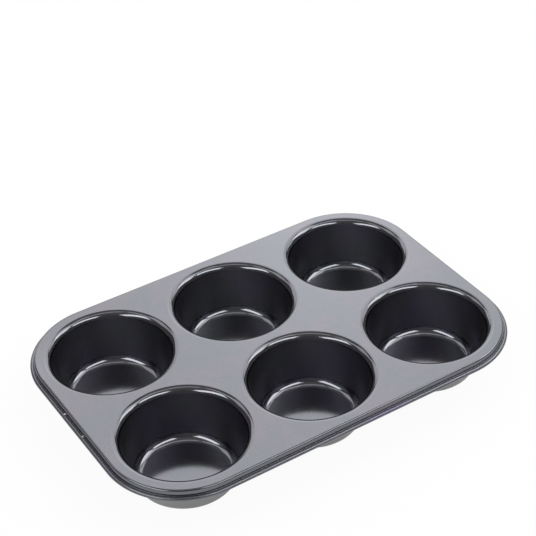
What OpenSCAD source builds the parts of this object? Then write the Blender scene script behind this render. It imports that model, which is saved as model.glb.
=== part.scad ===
// Jumbo muffin pan: one steel sheet, drawn into deep round cups, bent down and rolled at its rim.
// Millimetres, +Z up. X runs along the long side. The origin is on the surface that the pan stands
// on, under the middle of the deck.

/* [Cup layout] */
// Cups along the long side
cups_x = 3; // [1:1:5]
// Cups along the short side
cups_y = 2; // [1:1:4]
// Distance between the centres of neighbouring cups
cup_pitch = 107; // [104:0.5:130]

/* [Sheet] */
// Thickness of the coated sheet
sheet = 0.6; // [0.4:0.1:1]

/* [Cups] */
// Radius of a cup's mouth, where the flat deck ends and the lip begins
mouth_r = 50.8; // [47:0.2:52]
// Radius of the bend from the deck into a cup, on top
lip_r = 5.8; // [3:0.2:9]
// Depth of a cup, from the top of the deck to the top of its floor
cup_depth = 40.6; // [30:0.2:60]
// Radius of the flat part of a cup's floor
floor_r = 31; // [24:0.5:35]
// Radius of the bend from the floor to the wall, inside the cup
floor_bend_r = 6.9; // [4:0.1:9]

/* [Rim] */
// From the centre of an outer cup to the line where the deck starts to bend down
deck_margin = 56.3; // [53.5:0.1:80]
// Radius of the bend at the edge of the deck, on top
edge_r = 1.45; // [1.2:0.05:3]
// Angle by which the skirt below the edge leans outward from upright
skirt_lean = 6; // [0:1:20]
// From the top of the deck to the bottom of the rolled edge
rim_drop = 7.6; // [6.5:0.1:12]
// Outer radius of the rolled edge
roll_r = 1.65; // [1.4:0.05:1.9]
// From the line where the deck starts to bend down to the outside of the rolled edge
rim_out = 4.75; // [4.2:0.05:5.5]
// Radius of the hollow bend between the skirt and the roll
neck_r = 0.3; // [0.3:0.05:0.8]
// Angle that the sheet turns round the roll
roll_turn = 296; // [240:1:300]

/* [Hidden] */
$fn = 96;
coat_colour = [0.33, 0.33, 0.36];
// Angle between neighbouring points on a bend of the sheet
bend_step = 10;
// How far the deck, the cups and the rim run into each other, because they are one sheet
lap = 1;
pan_height = cup_depth + sheet;
span_x = (cups_x - 1) * cup_pitch;
span_y = (cups_y - 1) * cup_pitch;

// Cup section: a straight wall that touches the lip's bend above and the floor's bend below
lip_centre = [mouth_r, -lip_r];
floor_bend_centre = [floor_r, floor_bend_r - cup_depth];
centres_apart = lip_centre - floor_bend_centre;
wall_draft = atan2(centres_apart.x, centres_apart.y)
    - asin((lip_r + floor_bend_r) / norm(centres_apart));

// Rim section, measured from the line where the deck starts to bend down
edge_centre = [0, -edge_r];
roll_centre = [rim_out - roll_r, roll_r - rim_drop];
// The hollow bend touches the skirt's plane and the roll, seen across and along that plane
neck_side = (edge_centre - roll_centre) * [cos(skirt_lean), sin(skirt_lean)] + edge_r + neck_r;
neck_rise = sqrt(pow(neck_r + roll_r, 2) - pow(neck_side, 2));
roll_start = skirt_lean + atan2(neck_rise, neck_side);
neck_centre = roll_centre + (neck_r + roll_r) * [cos(roll_start), sin(roll_start)];

// Points on an arc, from one angle to another in either direction
function arc(centre, radius, from, to) =
    let (steps = ceil(abs(to - from) / bend_step))
    [for (i = [0:steps]) let (a = from + (to - from) * i / steps)
        centre + radius * [cos(a), sin(a)]];

function reversed(points) = [for (i = [len(points) - 1:-1:0]) points[i]];

// One side of a cup's sheet, from the deck to the axis. The depth is 0 on top and the sheet's
// thickness below.
function cup_side(depth) = concat(
    [[mouth_r + lap, -depth]],
    arc(lip_centre, lip_r - depth, 90, 180 - wall_draft),
    arc(floor_bend_centre, floor_bend_r + depth, -wall_draft, -90),
    [[0, -cup_depth - depth]]);

// One side of the rim's sheet, from the deck to the free edge inside the roll
function rim_side(depth) = concat(
    [[-lap, -depth]],
    arc(edge_centre, edge_r - depth, 90, skirt_lean),
    arc(neck_centre, neck_r + depth, 180 + skirt_lean, 180 + roll_start),
    arc(roll_centre, roll_r - depth, roll_start, roll_start - roll_turn));

// The sheet between its two sides
module sheet_section(top, bottom) {
    polygon(concat(top, reversed(bottom)));
}

module at_each_cup() {
    for (ix = [0:cups_x - 1], iy = [0:cups_y - 1])
        translate([ix * cup_pitch - span_x / 2, iy * cup_pitch - span_y / 2, 0]) children();
}

// Flat deck, with a round hole at each cup
module deck() {
    corner_r = deck_margin - lap / 2;
    corners = [[1, 1, 0], [-1, 1, 90], [-1, -1, 180], [1, -1, 270]];
    outline = [for (c = corners)
        each arc([c.x * span_x / 2, c.y * span_y / 2], corner_r, c.z, c.z + 90)];
    difference() {
        translate([0, 0, -sheet]) linear_extrude(sheet) polygon(outline);
        at_each_cup()
            translate([0, 0, -2 * sheet]) cylinder(h = 3 * sheet, r = mouth_r + lap / 2);
    }
}

// Drawn cup: lip, sloping wall, floor bend and flat floor
module cup() {
    rotate_extrude() sheet_section(cup_side(0), cup_side(sheet));
}

module rim_section() {
    translate([deck_margin, 0]) sheet_section(rim_side(0), rim_side(sheet));
}

// Rim: a quarter turn round each corner cup, and a straight run to the corner before it
module rim() {
    for (quarter = [0:3]) {
        runs_along_y = quarter % 2 == 0;
        corner = runs_along_y ? [span_x / 2, span_y / 2] : [span_y / 2, span_x / 2];
        run = runs_along_y ? span_y : span_x;
        rotate(quarter * 90) translate(corner) {
            rotate_extrude(angle = 90) rim_section();
            if (run > 0) rotate([90, 0, 0]) linear_extrude(run) rim_section();
        }
    }
}

module muffin_pan() {
    color(coat_colour)
        translate([0, 0, pan_height]) {
            deck();
            at_each_cup() cup();
            rim();
        }
}

muffin_pan();
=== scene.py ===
"""Jumbo muffin pan: one pressed steel sheet with a graphite non-stick coat, dressed around its CAD frame.

The sheet is made by a Geometry Nodes tree from its own sizes: each cup is a section of the sheet turned
round its axis, the rim is a section swept round the deck's rounded outline, and the deck fills what is
between them. All lengths are in metres, in the CAD frame: X along the long side, Z up, the origin on the
surface that the pan stands on.
"""

from __future__ import annotations

import logging
import math
from collections.abc import Mapping, Sequence
from dataclasses import dataclass, field
from enum import Enum

import bmesh
import bpy
from mathutils import Matrix, Vector

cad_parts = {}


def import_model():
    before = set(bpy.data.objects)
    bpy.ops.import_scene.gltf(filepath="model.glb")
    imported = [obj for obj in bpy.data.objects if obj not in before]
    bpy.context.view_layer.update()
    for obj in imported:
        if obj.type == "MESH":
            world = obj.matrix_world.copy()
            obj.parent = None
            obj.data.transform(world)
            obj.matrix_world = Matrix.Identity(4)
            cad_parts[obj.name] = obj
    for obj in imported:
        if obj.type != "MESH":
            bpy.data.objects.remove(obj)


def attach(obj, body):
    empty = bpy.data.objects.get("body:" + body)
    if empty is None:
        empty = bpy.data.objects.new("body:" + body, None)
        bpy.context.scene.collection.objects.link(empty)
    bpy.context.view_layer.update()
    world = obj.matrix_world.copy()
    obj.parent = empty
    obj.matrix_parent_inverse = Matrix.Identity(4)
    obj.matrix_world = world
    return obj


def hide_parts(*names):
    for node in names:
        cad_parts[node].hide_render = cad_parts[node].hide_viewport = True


LOG = logging.getLogger("muffin_pan")

NODE = "muffin_pan"
BODY = "root"
MILLIMETRE = 0.001
ROUND_OFF = 1e-6
LOWER_SIDE = "lower_side"
PHOTO_SIDE_PX = 536
SENSOR_WIDTH_MM = 36.0


@dataclass(frozen=True)
class Wire:
    """An output socket of a node, with its tree's arithmetic as Python operators."""

    tree: NodeTree
    socket: bpy.types.NodeSocket

    @property
    def is_vector(self) -> bool:
        """Whether the socket carries a vector or a colour."""
        return self.socket.type in {"VECTOR", "RGBA"}

    def maths(self, operation: str, *values: Wire | float | Sequence[float]) -> Wire:
        """Adds a Math node, or a Vector Math node where a value is a vector.

        Args:
            operation: The node's operation.
            values: Its inputs in order, as wires or constants.

        Returns:
            The node's result.
        """
        vectors = any(
            value.is_vector if isinstance(value, Wire) else not isinstance(value, (int, float))
            for value in values
        )
        kind = "ShaderNodeVectorMath" if vectors else "ShaderNodeMath"
        return self.tree.add(kind, {"operation": operation}, dict(enumerate(values)))

    def __add__(self, other: Wire | float | Sequence[float]) -> Wire:
        """This plus other."""
        return self.maths("ADD", self, other)

    def __radd__(self, other: float | Sequence[float]) -> Wire:
        """Other plus this."""
        return self.maths("ADD", other, self)

    def __sub__(self, other: Wire | float | Sequence[float]) -> Wire:
        """This less other."""
        return self.maths("SUBTRACT", self, other)

    def __rsub__(self, other: float | Sequence[float]) -> Wire:
        """Other less this."""
        return self.maths("SUBTRACT", other, self)

    def __mul__(self, other: Wire | float | Sequence[float]) -> Wire:
        """This times other."""
        return self.maths("MULTIPLY", self, other)

    def __rmul__(self, other: float | Sequence[float]) -> Wire:
        """Other times this."""
        return self.maths("MULTIPLY", other, self)

    def __truediv__(self, other: Wire | float | Sequence[float]) -> Wire:
        """This divided by other."""
        return self.maths("DIVIDE", self, other)

    def __rtruediv__(self, other: float | Sequence[float]) -> Wire:
        """Other divided by this."""
        return self.maths("DIVIDE", other, self)

    def __pow__(self, other: Wire | float) -> Wire:
        """This to the power of other."""
        return self.maths("POWER", self, other)

    def __rpow__(self, other: float) -> Wire:
        """Other to the power of this."""
        return self.maths("POWER", other, self)

    def __neg__(self) -> Wire:
        """This with its sign turned."""
        return self.maths("MULTIPLY", self, -1.0)

    def __gt__(self, other: Wire | float) -> Wire:
        """1 where this is greater than other, or else 0."""
        return self.maths("GREATER_THAN", self, other)

    def __lt__(self, other: Wire | float) -> Wire:
        """1 where this is less than other, or else 0."""
        return self.maths("LESS_THAN", self, other)

    def floor(self) -> Wire:
        """The whole number at or below this."""
        return self.maths("FLOOR", self)

    def sin(self) -> Wire:
        """The sine of this angle in radians."""
        return self.maths("SINE", self)

    def cos(self) -> Wire:
        """The cosine of this angle in radians."""
        return self.maths("COSINE", self)

    def sign(self) -> Wire:
        """1, 0 or -1 as this is above, at or below 0."""
        return self.maths("SIGN", self)

    def clamped(self) -> Wire:
        """This held from 0 to 1."""
        return self.maths("MINIMUM", self.maths("MAXIMUM", self, 0.0), 1.0)

    def parts(self) -> tuple[Wire, Wire, Wire]:
        """The X, Y and Z of this vector."""
        node = self.tree.place("ShaderNodeSeparateXYZ", {}, {"Vector": self})
        return tuple(Wire(self.tree, node.outputs[axis]) for axis in "XYZ")


@dataclass(frozen=True)
class NodeTree:
    """A node tree under construction, of geometry or of a shader."""

    data: bpy.types.NodeTree

    def place(
        self,
        kind: str,
        settings: Mapping[str, object] | None = None,
        sockets: Mapping[str | int, object] | None = None,
    ) -> bpy.types.Node:
        """Adds a node, sets what it is, and then fills its sockets.

        Args:
            kind: The node's type name.
            settings: The node's own properties by name.
            sockets: Wires or constants by the input's name or number. A list of wires fills a socket
                that takes many, and joins them in that order.

        Returns:
            The node.
        """
        node = self.data.nodes.new(kind)
        for name, value in (settings or {}).items():
            setattr(node, name, value)
        for key, value in (sockets or {}).items():
            socket = self._input(node, key)
            if isinstance(value, list):
                for wire in reversed(value):
                    self.data.links.new(wire.socket, socket)
            elif isinstance(value, Wire):
                self.data.links.new(value.socket, socket)
            elif value is not None:
                self._set_constant(socket, value)
        return node

    def add(
        self,
        kind: str,
        settings: Mapping[str, object] | None = None,
        sockets: Mapping[str | int, object] | None = None,
        output: str | None = None,
    ) -> Wire:
        """Adds a node as place does, and gives one of its outputs.

        Args:
            kind: The node's type name.
            settings: The node's own properties by name.
            sockets: Wires or constants by the input's name or number.
            output: The output's name. The first one in use is taken without it.

        Returns:
            The output.
        """
        node = self.place(kind, settings, sockets)
        for socket in node.outputs:
            if socket.enabled and output in (None, socket.name):
                return Wire(self, socket)
        raise KeyError(f"{kind} has no output {output!r}")

    def vector(self, x: Wire | float, y: Wire | float, z: Wire | float) -> Wire:
        """Three numbers as one vector."""
        return self.add("ShaderNodeCombineXYZ", {}, {"X": x, "Y": y, "Z": z})

    def mix(self, share: Wire | float, low: object, high: object) -> Wire:
        """A colour between low and high."""
        return self.add("ShaderNodeMix", {"data_type": "RGBA"}, {"Factor": share, "A": low, "B": high})

    @staticmethod
    def _input(node: bpy.types.Node, key: str | int) -> bpy.types.NodeSocket:
        """The node's input of that number, or the one in use of that name."""
        if isinstance(key, int):
            return node.inputs[key]
        for socket in node.inputs:
            if socket.enabled and socket.name == key:
                return socket
        raise KeyError(f"{node.bl_idname} has no input {key!r}")

    @staticmethod
    def _set_constant(socket: bpy.types.NodeSocket, value: object) -> None:
        """Puts a constant into a socket. A number is spread over a vector, and a colour gets its alpha."""
        if socket.type == "VECTOR" and isinstance(value, (int, float)):
            value = (value, value, value)
        if socket.type == "RGBA" and len(value) == 3:
            value = (*value, 1.0)
        socket.default_value = value


@dataclass(frozen=True)
class CupSizes:
    """One drawn cup. The radii of bends are those of the sheet's upper side."""

    mouth_radius: float = 50.8 * MILLIMETRE
    lip_radius: float = 5.8 * MILLIMETRE
    depth: float = 40.6 * MILLIMETRE
    floor_radius: float = 31.0 * MILLIMETRE
    floor_bend_radius: float = 6.9 * MILLIMETRE

    @property
    def wall_draft(self) -> float:
        """The wall's angle from upright, so that it touches both bends, in radians."""
        across = self.mouth_radius - self.floor_radius
        up = self.depth - self.lip_radius - self.floor_bend_radius
        bends = self.lip_radius + self.floor_bend_radius
        return math.atan2(across, up) - math.asin(bends / math.hypot(across, up))


@dataclass(frozen=True)
class RimSizes:
    """The edge of the sheet, from the line where the deck starts to bend down."""

    margin: float = 56.3 * MILLIMETRE
    edge_radius: float = 1.45 * MILLIMETRE
    skirt_lean: float = math.radians(6.0)
    reach: float = 4.75 * MILLIMETRE
    drop: float = 7.6 * MILLIMETRE
    roll_radius: float = 1.65 * MILLIMETRE
    neck_radius: float = 0.3 * MILLIMETRE
    roll_turn: float = math.radians(296.0)

    @property
    def roll_centre(self) -> tuple[float, float]:
        """The centre of the roll, as outward and up."""
        return self.reach - self.roll_radius, self.roll_radius - self.drop

    @property
    def roll_start(self) -> float:
        """The angle on the roll at which the neck meets it, in radians."""
        out, up = -self.roll_centre[0], -self.edge_radius - self.roll_centre[1]
        side = out * math.cos(self.skirt_lean) + up * math.sin(self.skirt_lean)
        side += self.edge_radius + self.neck_radius
        return self.skirt_lean + math.acos(side / (self.neck_radius + self.roll_radius))

    @property
    def neck_centre(self) -> tuple[float, float]:
        """The centre of the hollow bend above the roll, as outward and up."""
        reach = self.neck_radius + self.roll_radius
        out, up = self.roll_centre
        return out + reach * math.cos(self.roll_start), up + reach * math.sin(self.roll_start)


@dataclass(frozen=True)
class PanSizes:
    """The whole sheet."""

    columns: int = 3
    rows: int = 2
    pitch: float = 107.0 * MILLIMETRE
    sheet: float = 0.6 * MILLIMETRE
    cup: CupSizes = field(default_factory=CupSizes)
    rim: RimSizes = field(default_factory=RimSizes)

    @property
    def height(self) -> float:
        """From the surface that the pan stands on to the top of the deck."""
        return self.cup.depth + self.sheet


@dataclass(frozen=True)
class Facets:
    """How finely the sheet is divided. Steps are the largest angles between two points on a bend."""

    quarter_turn: int = 32
    lip_step: float = math.radians(4.6)
    rim_step: float = math.radians(10.0)
    small_bend: float = 4.0 * MILLIMETRE
    flat_edge: float = 0.4 * MILLIMETRE
    weld: float = 2.0e-6
    same_level: float = 0.1 * MILLIMETRE


class Side(Enum):
    """A side of the sheet."""

    UPPER = "upper"
    LOWER = "lower"


@dataclass(frozen=True)
class Arc:
    """A bend in the sheet's section, in metres and radians."""

    centre: tuple[float, float]
    radius: float
    start: float
    end: float

    def steps(self, largest: float) -> int:
        """The number of equal steps, none larger than the given angle."""
        return max(1, math.ceil(abs(self.end - self.start) / largest - ROUND_OFF))

    def turned_round(self) -> Arc:
        """The same bend, run through from its end to its start."""
        return Arc(self.centre, self.radius, self.end, self.start)


@dataclass(frozen=True)
class Point:
    """A corner or support point in the sheet's section."""

    out: float
    up: float

    def turned_round(self) -> Point:
        """The same point."""
        return self


class SheetTree:
    """Builds the Geometry Nodes tree that makes the pan's sheet."""

    INPUTS = {
        "Cups Along X": ("NodeSocketInt", "columns"),
        "Cups Along Y": ("NodeSocketInt", "rows"),
        "Cup Pitch": ("NodeSocketFloat", "pitch"),
        "Sheet": ("NodeSocketFloat", "sheet"),
        "Deck Height": ("NodeSocketFloat", "height"),
    }

    def __init__(self, sizes: PanSizes, facets: Facets, material: bpy.types.Material) -> None:
        """Keeps what the tree is made from.

        Args:
            sizes: The pan's sizes.
            facets: How finely its bends are divided.
            material: The finish of the whole sheet.
        """
        self.sizes = sizes
        self.facets = facets
        self.material = material
        self.data = bpy.data.node_groups.new("pressed_sheet", "GeometryNodeTree")
        self.tree = NodeTree(self.data)

    def build(self) -> bpy.types.NodeTree:
        """Fills the tree.

        Returns:
            The finished Geometry Nodes tree.
        """
        group_in = self._interface()
        half_x = group_in["Cup Pitch"] * (group_in["Cups Along X"] - 1.0) * 0.5
        half_y = group_in["Cup Pitch"] * (group_in["Cups Along Y"] - 1.0) * 0.5
        swept = {side: self._turned(self._cup_section(side), 0.0, 0.0) for side in Side}
        cup = self._join([self._marked(piece, float(side is Side.LOWER)) for side, piece in swept.items()])
        grid = self.tree.add(
            "GeometryNodeMeshGrid",
            {},
            {
                "Size X": half_x * 2.0,
                "Size Y": half_y * 2.0,
                "Vertices X": group_in["Cups Along X"],
                "Vertices Y": group_in["Cups Along Y"],
            },
            "Mesh",
        )
        cups = self.tree.add("GeometryNodeInstanceOnPoints", {}, {"Points": grid, "Instance": cup})
        cups = self.tree.add("GeometryNodeRealizeInstances", {}, {"Geometry": cups})
        rim = self._turned(self._rim_section(), half_x, half_y, True)
        drawn = self._welded(self._join([cups, rim]))
        upper = self._marked(self._deck(drawn, 0.0), 0.0)
        lower = self._marked(self._deck(drawn, -group_in["Sheet"]), 1.0)
        sheet = self._welded(self._join([drawn, upper, lower]))
        raised = self.tree.vector(0, 0, group_in["Deck Height"])
        sheet = self.tree.add("GeometryNodeTransform", {}, {"Geometry": sheet, "Translation": raised})
        sheet = self.tree.add(
            "GeometryNodeSetShadeSmooth", {"domain": "FACE"}, {"Geometry": sheet, "Shade Smooth": True}
        )
        sheet = self.tree.add("GeometryNodeRealizeInstances", {}, {"Geometry": sheet})
        sheet = self.tree.add("GeometryNodeSetMaterial", {}, {"Geometry": sheet, "Material": self.material})
        self.tree.place("NodeGroupOutput", {}, {"Geometry": sheet})
        return self.data

    def _interface(self) -> dict[str, Wire]:
        """Returns:
            The named inputs as wires.
        """
        self.data.interface.new_socket(name="Geometry", in_out="OUTPUT", socket_type="NodeSocketGeometry")
        for name, (kind, _) in self.INPUTS.items():
            self.data.interface.new_socket(name=name, in_out="INPUT", socket_type=kind)
        node = self.tree.place("NodeGroupInput")
        return {name: Wire(self.tree, node.outputs[name]) for name in self.INPUTS}

    def _join(self, pieces: list[Wire]) -> Wire:
        """Puts pieces of geometry together in their order."""
        return self.tree.add("GeometryNodeJoinGeometry", {}, {"Geometry": pieces})

    def _welded(self, piece: Wire) -> Wire:
        """Merges points that lie on each other."""
        return self.tree.add(
            "GeometryNodeMergeByDistance", {}, {"Geometry": piece, "Distance": self.facets.weld}
        )

    def _cup_section(self, side: Side) -> list[Arc | Point]:
        """One side of a cup's sheet, from the deck to the axis.

        Args:
            side: The upper or the lower side of the sheet.

        Returns:
            Its bends and support points in order.
        """
        cup, thickness = self.sizes.cup, self.sizes.sheet
        depth = 0.0 if side is Side.UPPER else thickness
        draft, edge = cup.wall_draft, self.facets.flat_edge
        lip = Arc((cup.mouth_radius, -cup.lip_radius), cup.lip_radius - depth, math.pi / 2, math.pi - draft)
        bend_centre = (cup.floor_radius, cup.floor_bend_radius - cup.depth)
        bend = Arc(bend_centre, cup.floor_bend_radius + depth, -draft, -math.pi / 2)
        lip_end = self._on(lip, lip.end)
        bend_start = self._on(bend, bend.start)
        along = Vector(bend_start) - Vector(lip_end)
        along.normalize()
        return [
            Point(cup.mouth_radius + edge, -depth),
            lip,
            Point(lip_end[0] + edge * along.x, lip_end[1] + edge * along.y),
            Point(bend_start[0] - edge * along.x, bend_start[1] - edge * along.y),
            bend,
            Point(cup.floor_radius - edge, -cup.depth - depth),
            Point(0.0, -cup.depth - depth),
        ]

    def _rim_section(self) -> list[Arc | Point]:
        """The rim's sheet, along its upper side to the free edge in the roll and back along its lower side.

        Returns:
            Its bends and support points in order.
        """
        rim, thickness = self.sizes.rim, self.sizes.sheet
        edge = self.facets.flat_edge
        there: list[Arc | Point] = []
        for depth in (0.0, thickness):
            start, end = rim.roll_start, rim.roll_start - rim.roll_turn
            lean, out = rim.skirt_lean, rim.margin
            neck, roll = self._moved(rim.neck_centre, out), self._moved(rim.roll_centre, out)
            bends: list[Arc | Point] = [
                Point(out - edge, -depth),
                Arc((out, -rim.edge_radius), rim.edge_radius - depth, math.pi / 2, lean),
                Arc(neck, rim.neck_radius + depth, math.pi + lean, math.pi + start),
                Arc(roll, rim.roll_radius - depth, start, end),
            ]
            there += [bend.turned_round() for bend in reversed(bends)] if depth else bends
        return there

    @staticmethod
    def _on(arc: Arc, angle: float) -> tuple[float, float]:
        """The point on an arc at an angle."""
        return arc.centre[0] + arc.radius * math.cos(angle), arc.centre[1] + arc.radius * math.sin(angle)

    @staticmethod
    def _moved(point: tuple[float, float], out: float) -> tuple[float, float]:
        """A point of the rim's section moved outward."""
        return point[0] + out, point[1]

    def _section_points(self, section: list[Arc | Point]) -> tuple[Wire, int]:
        """Makes a section's points, with X outward and Z up.

        Args:
            section: The bends and support points in order.

        Returns:
            The points as geometry, and how many they are.
        """
        tree = self.tree
        index = tree.add("GeometryNodeInputIndex")
        runs: list[Wire] = []
        total = 0
        for part in section:
            if isinstance(part, Point):
                count = 1
                place = tree.vector(part.out, 0.0, part.up)
            else:
                small = part.radius < self.facets.small_bend
                steps = part.steps(self.facets.rim_step if small else self.facets.lip_step)
                count = steps + 1
                angle = part.start + index * ((part.end - part.start) / steps)
                out, up = part.centre
                place = tree.vector(out + angle.cos() * part.radius, 0.0, up + angle.sin() * part.radius)
            line = tree.add("GeometryNodeMeshLine", {"mode": "OFFSET"}, {"Count": count})
            runs.append(tree.add("GeometryNodeSetPosition", {}, {"Geometry": line, "Position": place}))
            total += count
        return self._join(runs), total

    def _marked(self, piece: Wire, lower: Wire | float) -> Wire:
        """Stores on a surface's points whether they are on the lower side of the sheet."""
        return self.tree.add(
            "GeometryNodeStoreNamedAttribute",
            {"data_type": "FLOAT", "domain": "POINT"},
            {"Geometry": piece, "Name": LOWER_SIDE, "Value": lower},
        )

    def _turned(
        self,
        section: list[Arc | Point],
        half_x: Wire | float,
        half_y: Wire | float,
        both_sides: bool = False,
    ) -> Wire:
        """Sweeps a section round an axis, or round a rectangle of four such axes with straight runs between.

        Args:
            section: The section, with X outward from the axis.
            half_x: Half the distance between the axes along X.
            half_y: Half the distance between the axes along Y.
            both_sides: Whether the section's second half is the sheet's lower side, and is marked so.

        Returns:
            The swept surface.
        """
        tree = self.tree
        points, count = self._section_points(section)
        per_quarter = self.facets.quarter_turn
        columns = 4 * (per_quarter + 1) + 1
        grid = tree.add("GeometryNodeMeshGrid", {}, {"Vertices X": columns, "Vertices Y": count}, "Mesh")
        index = tree.add("GeometryNodeInputIndex")
        column = ((index + 0.5) / float(count)).floor()
        row = index - column * float(count)
        position = tree.add("GeometryNodeInputPosition")
        place = tree.add(
            "GeometryNodeSampleIndex",
            {"data_type": "FLOAT_VECTOR", "domain": "POINT"},
            {"Geometry": points, "Value": position, "Index": row},
        )
        out, _, up = place.parts()
        quarter = ((column + 0.5) / float(per_quarter + 1)).floor()
        step = column - quarter * float(per_quarter + 1)
        angle = (quarter + step / float(per_quarter)) * (math.pi / 2)
        middle = (quarter + 0.5) * (math.pi / 2)
        x = middle.cos().sign() * half_x + out * angle.cos()
        y = middle.sin().sign() * half_y + out * angle.sin()
        if both_sides:
            grid = self._marked(grid, row > count / 2 - 0.5)
        return tree.add("GeometryNodeSetPosition", {}, {"Geometry": grid, "Position": tree.vector(x, y, up)})

    def _deck(self, drawn: Wire, level: Wire | float) -> Wire:
        """Fills the flat of one side of the deck between its open edges.

        Args:
            drawn: The cups and the rim.
            level: The height of this side of the deck.

        Returns:
            The flat, in place.
        """
        tree = self.tree
        faces = tree.add("GeometryNodeInputMeshEdgeNeighbors", {}, {}, "Face Count")
        _, _, height = tree.add("GeometryNodeInputPosition").parts()
        open_edge = faces.maths("COMPARE", faces, 1.0, 0.5)
        at_level = height.maths("COMPARE", height, level, self.facets.same_level)
        outline = tree.add("GeometryNodeMeshToCurve", {}, {"Mesh": drawn, "Selection": open_edge * at_level})
        flat = tree.add("GeometryNodeFillCurve", {"mode": "TRIANGLES"}, {"Curve": outline}, "Mesh")
        raised = tree.vector(0, 0, level)
        return tree.add("GeometryNodeTransform", {}, {"Geometry": flat, "Translation": raised})


@dataclass(frozen=True)
class GraphiteCoat:
    """The dark satin non-stick coat, with faint mottling, duller on the drawn walls and matt underneath.

    Two near-white matt specks on the rolled edge, at the left end of the pan, are painted glints: highlights
    painted into the coat's colour.
    """

    name: str = "graphite_non_stick_coat"
    cool: tuple[float, float, float] = (0.149, 0.158, 0.172)
    violet: tuple[float, float, float] = (0.165, 0.158, 0.177)
    wall_violet: tuple[float, float, float] = (0.165, 0.152, 0.208)
    metallic: float = 1.0
    roughness: float = 0.12
    roughness_spread: float = 0.03
    wall_roughness: float = 0.34
    wall_low: float = 4.6 * MILLIMETRE
    wall_high: float = 38.4 * MILLIMETRE
    wall_fade: float = 2.6 * MILLIMETRE
    wall_cloud_level: float = 0.48
    wall_cloud_contrast: float = 5.0
    lower_colour: tuple[float, float, float] = (0.26, 0.26, 0.262)
    lower_metallic: float = 0.35
    lower_roughness: float = 0.5
    # Painted glints: two near-white matt specks on the rolled edge stand in for small highlights.
    painted_glint_colour: tuple[float, float, float] = (0.8, 0.79, 0.77)
    painted_glint_roughness: float = 0.35
    painted_glint_radius: float = 0.9 * MILLIMETRE
    painted_glint_edge: float = 4.0
    painted_glint_raggedness: float = 2.0
    painted_glint_places: tuple[tuple[float, float, float], ...] = (
        (-0.1656, 0.0155, 0.0367),
        (-0.1656, -0.0127, 0.0367),
    )
    cloud_per_metre: float = 24.0
    cloud_contrast: float = 3.0
    mottle_per_metre: float = 160.0
    mottle_contrast: float = 2.4
    grain_per_metre: float = 1100.0
    grain_contrast: float = 0.22
    grain_height: float = 0.004 * MILLIMETRE
    noise_detail: float = 3.0
    noise_roughness: float = 0.55

    def build(self) -> bpy.types.Material:
        """Makes the material.

        Returns:
            The finished material.
        """
        material = bpy.data.materials.new(self.name)
        material.use_nodes = True
        material.node_tree.nodes.clear()
        tree = NodeTree(material.node_tree)
        place = tree.add("ShaderNodeTexCoord", {}, {}, "Object")
        _, _, height = place.parts()
        lower = tree.add("ShaderNodeAttribute", {"attribute_name": LOWER_SIDE}, {}, "Fac").clamped()
        cloud = self._noise(tree, place, self.cloud_per_metre)
        mottle = self._noise(tree, place, self.mottle_per_metre)
        grain = self._noise(tree, place, self.grain_per_metre)
        tint = (cloud - 0.5) * self.cloud_contrast + (mottle - 0.5) * self.mottle_contrast
        tint = (tint + 0.5).clamped()
        wall = ((height - self.wall_low) / self.wall_fade).clamped()
        wall = wall * ((self.wall_high - height) / self.wall_fade).clamped()
        colour = tree.mix(tint, self.cool, self.violet) * (1.0 + (grain - 0.5) * self.grain_contrast)
        wall_cloud = ((cloud - self.wall_cloud_level) * self.wall_cloud_contrast).clamped()
        colour = tree.mix(wall * wall_cloud, colour, self.wall_violet)
        colour = tree.mix(lower, colour, self.lower_colour)
        rough = self.roughness + wall * (self.wall_roughness - self.roughness)
        rough = rough + (mottle + grain - 1.0) * self.roughness_spread
        rough = rough * (1.0 - lower) + self.lower_roughness * lower
        metal = self.metallic - lower * (self.metallic - self.lower_metallic)
        # Painted glints: the specks turn the coat near-white and matt, a highlight painted into the colour.
        painted_glint = self._painted_glints(tree, place, grain) * (1.0 - lower)
        colour = tree.mix(painted_glint, colour, self.painted_glint_colour)
        rough = rough + painted_glint * (self.painted_glint_roughness - self.roughness)
        metal = metal * (1.0 - painted_glint)
        normal = tree.add(
            "ShaderNodeBump", {}, {"Strength": 1.0, "Distance": self.grain_height, "Height": grain}
        )
        shader = tree.add(
            "ShaderNodeBsdfPrincipled",
            {},
            {"Base Color": colour, "Metallic": metal, "Roughness": rough, "Normal": normal},
        )
        tree.place("ShaderNodeOutputMaterial", {}, {"Surface": shader})
        return material

    def _painted_glints(self, tree: NodeTree, place: Wire, grain: Wire) -> Wire:
        """1 inside the two ragged specks of painted glint and 0 elsewhere."""
        share: Wire | float = 0.0
        for centre in self.painted_glint_places:
            away = tree.add(
                "ShaderNodeVectorMath", {"operation": "DISTANCE"}, {0: place, 1: centre}, "Value"
            )
            inside = (self.painted_glint_radius - away) * (self.painted_glint_edge / self.painted_glint_radius)
            share = share + (inside + (grain - 0.5) * self.painted_glint_raggedness).clamped()
        return share

    def _noise(self, tree: NodeTree, place: Wire, per_metre: float) -> Wire:
        """Noise round 0.5, with about so many patches in a metre."""
        return tree.add(
            "ShaderNodeTexNoise",
            {},
            {
                "Vector": place,
                "Scale": per_metre,
                "Detail": self.noise_detail,
                "Roughness": self.noise_roughness,
            },
        )


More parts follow.
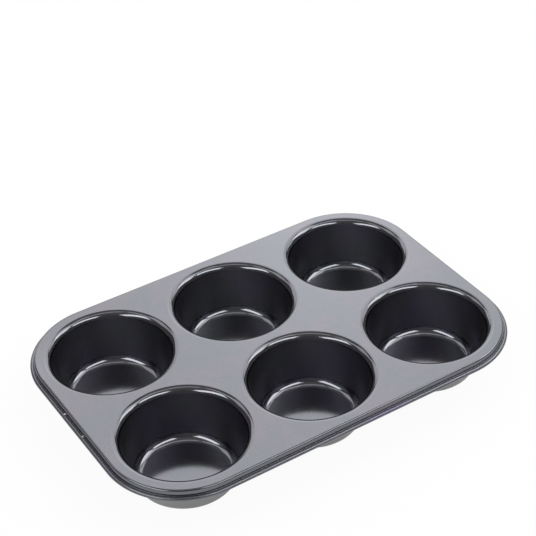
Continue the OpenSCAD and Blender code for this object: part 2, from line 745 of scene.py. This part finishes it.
class PressedSheet:
    """The pan's only piece: one steel sheet, drawn into cups and rolled at its rim."""

    def __init__(self, sizes: PanSizes, facets: Facets, coat: GraphiteCoat) -> None:
        """Keeps the sheet's sizes and finish.

        Args:
            sizes: The pan's sizes.
            facets: How finely its bends are divided.
            coat: The finish.
        """
        self.sizes = sizes
        self.facets = facets
        self.coat = coat

    def build(self) -> bpy.types.Object:
        """Makes the sheet as a plain mesh, in its place and coated.

        Returns:
            The finished piece.
        """
        material = self.coat.build()
        group = SheetTree(self.sizes, self.facets, material).build()
        holder = bpy.data.objects.new("sheet_maker", bpy.data.meshes.new("sheet_maker"))
        bpy.context.scene.collection.objects.link(holder)
        modifier = holder.modifiers.new("pressed_sheet", "NODES")
        modifier.node_group = group
        self._set_inputs(modifier, group)
        evaluated = holder.evaluated_get(bpy.context.evaluated_depsgraph_get())
        mesh = bpy.data.meshes.new_from_object(evaluated)
        mesh.name = "muffin_pan_sheet"
        bpy.data.objects.remove(holder)
        self._face_outward(mesh)
        piece = bpy.data.objects.new("muffin_pan_sheet", mesh)
        bpy.context.scene.collection.objects.link(piece)
        return piece

    def _set_inputs(self, modifier: bpy.types.NodesModifier, group: bpy.types.NodeTree) -> None:
        """Gives the modifier the pan's sizes, by the identifiers of the tree's named inputs."""
        for item in group.interface.items_tree:
            if item.in_out == "INPUT":
                modifier[item.identifier] = getattr(self.sizes, SheetTree.INPUTS[item.name][1])

    @staticmethod
    def _face_outward(mesh: bpy.types.Mesh) -> None:
        """Turns every face outward and logs what the mesh holds."""
        work = bmesh.new()
        work.from_mesh(mesh)
        bmesh.ops.recalc_face_normals(work, faces=work.faces)
        if work.calc_volume(signed=True) < 0.0:
            bmesh.ops.reverse_faces(work, faces=work.faces)
        loose = sum(1 for edge in work.edges if len(edge.link_faces) != 2)
        triangles = sum(len(face.verts) - 2 for face in work.faces)
        LOG.info("sheet: %d triangles, %d edges not between two faces", triangles, loose)
        LOG.info("sheet: %.1f cubic millimetres", work.calc_volume() / MILLIMETRE**3)
        work.to_mesh(mesh)
        work.free()


@dataclass(frozen=True)
class Softbox:
    """A rectangular light that faces the pan. Angles are in degrees, and azimuths run from +Y towards +X."""

    name: str
    azimuth: float
    elevation: float
    width: float
    height: float
    radiance: float
    roll: float = 0.0
    distance: float = 2.0

    def build(self, target: Vector) -> bpy.types.Object:
        """Makes the light.

        Args:
            target: The point that it faces.

        Returns:
            The light.
        """
        azimuth, elevation = math.radians(self.azimuth), math.radians(self.elevation)
        flat = math.cos(elevation)
        away = Vector((math.sin(azimuth) * flat, math.cos(azimuth) * flat, math.sin(elevation)))
        across = Vector((math.cos(azimuth), -math.sin(azimuth), 0.0))
        turn = Matrix((across, away.cross(across), away)).transposed().to_4x4()
        turn = turn @ Matrix.Rotation(math.radians(self.roll), 4, "Z")
        data = bpy.data.lights.new(self.name, "AREA")
        data.shape = "RECTANGLE"
        data.size = 2.0 * self.distance * math.tan(math.radians(self.width) / 2)
        data.size_y = 2.0 * self.distance * math.tan(math.radians(self.height) / 2)
        data.energy = self.radiance * math.pi * data.size * data.size_y
        light = bpy.data.objects.new(self.name, data)
        light.matrix_world = Matrix.Translation(target + away * self.distance) @ turn
        light.visible_camera = False
        bpy.context.scene.collection.objects.link(light)
        return light


@dataclass(frozen=True)
class PhotoCamera:
    """The camera at the photograph's viewing angle."""

    azimuth: float = -31.397
    elevation: float = 36.853
    roll: float = -2.284
    distance: float = 1.2146
    target: tuple[float, float, float] = (0.04495, 0.07262, 0.04153)
    focal_px: float = 1521.2
    nearest: float = 0.05
    farthest: float = 50.0

    def build(self) -> bpy.types.Object:
        """Makes the camera and gives it to the scene.

        Returns:
            The camera.
        """
        azimuth, elevation, roll = (math.radians(a) for a in (self.azimuth, self.elevation, self.roll))
        flat = math.cos(elevation)
        back = Vector((math.sin(azimuth) * flat, -math.cos(azimuth) * flat, math.sin(elevation)))
        level = Vector((math.cos(azimuth), math.sin(azimuth), 0.0))
        upright = back.cross(level)
        right = math.cos(roll) * level + math.sin(roll) * upright
        up = math.cos(roll) * upright - math.sin(roll) * level
        data = bpy.data.cameras.new("photo_camera")
        data.sensor_width = SENSOR_WIDTH_MM
        data.sensor_fit = "HORIZONTAL"
        data.lens = self.focal_px / PHOTO_SIDE_PX * SENSOR_WIDTH_MM
        data.clip_start = self.nearest
        data.clip_end = self.farthest
        camera = bpy.data.objects.new("photo_camera", data)
        turn = Matrix((right, up, back)).transposed().to_4x4()
        camera.matrix_world = Matrix.Translation(Vector(self.target) + back * self.distance) @ turn
        bpy.context.scene.collection.objects.link(camera)
        bpy.context.scene.camera = camera
        return camera


@dataclass(frozen=True)
class Studio:
    """A plain floor and surroundings that show as white, a dim dome with one soft glow, and softboxes."""

    floor_half: float = 15.0
    floor_gap: float = 0.05 * MILLIMETRE
    floor_colour: tuple[float, float, float] = (0.86, 0.86, 0.86)
    shadow_share: float = 0.055
    dome_low: float = 0.18
    dome_rise: float = 0.2
    dome_power: float = 4.0
    glow: float = 0.85
    glow_power: float = 220.0
    glow_towards: tuple[float, float, float] = (0.4636, 0.6873, 0.5592)
    target: tuple[float, float, float] = (0.0, 0.0, 0.04)
    softboxes: tuple[Softbox, ...] = (
        Softbox("back_panel", 40.0, 34.0, 42.0, 42.0, 1.74),
        Softbox("back_left_panel", 0.0, 30.0, 21.0, 24.0, 1.5),
        Softbox("high_left_panel", 328.0, 45.0, 26.0, 22.0, 1.15),
        Softbox("back_right_panel", 79.0, 31.0, 20.0, 24.0, 1.55),
        Softbox("right_box", 106.0, 40.0, 31.0, 19.0, 3.7),
        Softbox("right_high_panel", 98.0, 55.5, 32.0, 12.0, 1.75),
        Softbox("front_box", 162.5, 45.0, 40.0, 17.0, 3.9),
        Softbox("left_box", 260.5, 39.0, 46.0, 17.5, 4.0, -17.0),
        Softbox("top_strip", 218.0, 85.0, 30.0, 10.0, 0.95),
        Softbox("top_left_panel", 309.0, 62.0, 13.0, 20.0, 1.0),
        Softbox("top_right_panel", 116.0, 69.0, 15.0, 20.0, 1.15),
    )

    def build(self) -> None:
        """Makes the floor, the world and the lights."""
        self._floor()
        self._world()
        for box in self.softboxes:
            box.build(Vector(self.target))

    def _floor(self) -> None:
        """Makes the floor, which shows as white with the pan's shadow, and lets its back be seen through."""
        half, low = self.floor_half, -self.floor_gap
        mesh = bpy.data.meshes.new("floor")
        corners = [(-half, -half, low), (half, -half, low), (half, half, low), (-half, half, low)]
        mesh.from_pydata(corners, [], [(0, 1, 2, 3)])
        floor = bpy.data.objects.new("floor", mesh)
        bpy.context.scene.collection.objects.link(floor)
        material = bpy.data.materials.new("pale_floor")
        material.use_nodes = True
        material.node_tree.nodes.clear()
        tree = NodeTree(material.node_tree)
        paint = tree.add("ShaderNodeBsdfDiffuse", {}, {"Color": self.floor_colour})
        white = tree.add("ShaderNodeEmission", {}, {"Color": (1.0, 1.0, 1.0), "Strength": 1.0})
        camera, mirrored = self._rays(tree)
        seen = (camera + mirrored).clamped()
        share = seen * (1.0 - self.shadow_share)
        shader = tree.add("ShaderNodeMixShader", {}, {0: share, 1: paint, 2: white})
        back = tree.add("ShaderNodeNewGeometry", {}, {}, "Backfacing")
        clear = tree.add("ShaderNodeBsdfTransparent", {}, {"Color": (1.0, 1.0, 1.0)})
        shader = tree.add("ShaderNodeMixShader", {}, {0: back, 1: shader, 2: clear})
        tree.place("ShaderNodeOutputMaterial", {}, {"Surface": shader})
        mesh.materials.append(material)

    @staticmethod
    def _rays(tree: NodeTree) -> tuple[Wire, Wire]:
        """Whether a ray comes from the camera, and whether it comes off metal or through glass."""
        node = tree.place("ShaderNodeLightPath")
        camera, glossy, through = (
            Wire(tree, node.outputs[name])
            for name in ("Is Camera Ray", "Is Glossy Ray", "Is Transmission Ray")
        )
        return camera, glossy + through

    def _world(self) -> None:
        """Makes the surroundings: white to the camera and below the horizon, and a dim dome over the pan."""
        world = bpy.data.worlds.new("studio")
        world.use_nodes = True
        world.node_tree.nodes.clear()
        tree = NodeTree(world.node_tree)
        camera, mirrored = self._rays(tree)
        towards = tree.add("ShaderNodeTexCoord", {}, {}, "Generated")
        _, _, up = towards.parts()
        facing = tree.add(
            "ShaderNodeVectorMath", {"operation": "DOT_PRODUCT"}, {0: towards, 1: self.glow_towards}, "Value"
        )
        level = self.dome_low + self.dome_rise * up.maths("MAXIMUM", up, 0.0) ** self.dome_power
        level = level + self.glow * facing.maths("MAXIMUM", facing, 0.0) ** self.glow_power
        seen = (camera + mirrored * (up < 0.0)).clamped()
        strength = seen + (1.0 - seen) * level
        light = tree.add("ShaderNodeBackground", {}, {"Color": (1.0, 1.0, 1.0), "Strength": strength})
        tree.place("ShaderNodeOutputWorld", {}, {"Surface": light})
        bpy.context.scene.world = world


def main() -> None:
    """Loads the frame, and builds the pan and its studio."""
    logging.basicConfig(level=logging.INFO, format="%(name)s: %(message)s")
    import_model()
    bpy.context.view_layer.update()
    bpy.context.scene.view_settings.view_transform = "Standard"
    PhotoCamera().build()
    Studio().build()
    piece = PressedSheet(PanSizes(), Facets(), GraphiteCoat()).build()
    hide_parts(NODE)
    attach(piece, BODY)
    LOG.info("piece %s stands for %s", piece.name, NODE)
    bpy.context.view_layer.update()


if __name__ == "__main__":
    main()
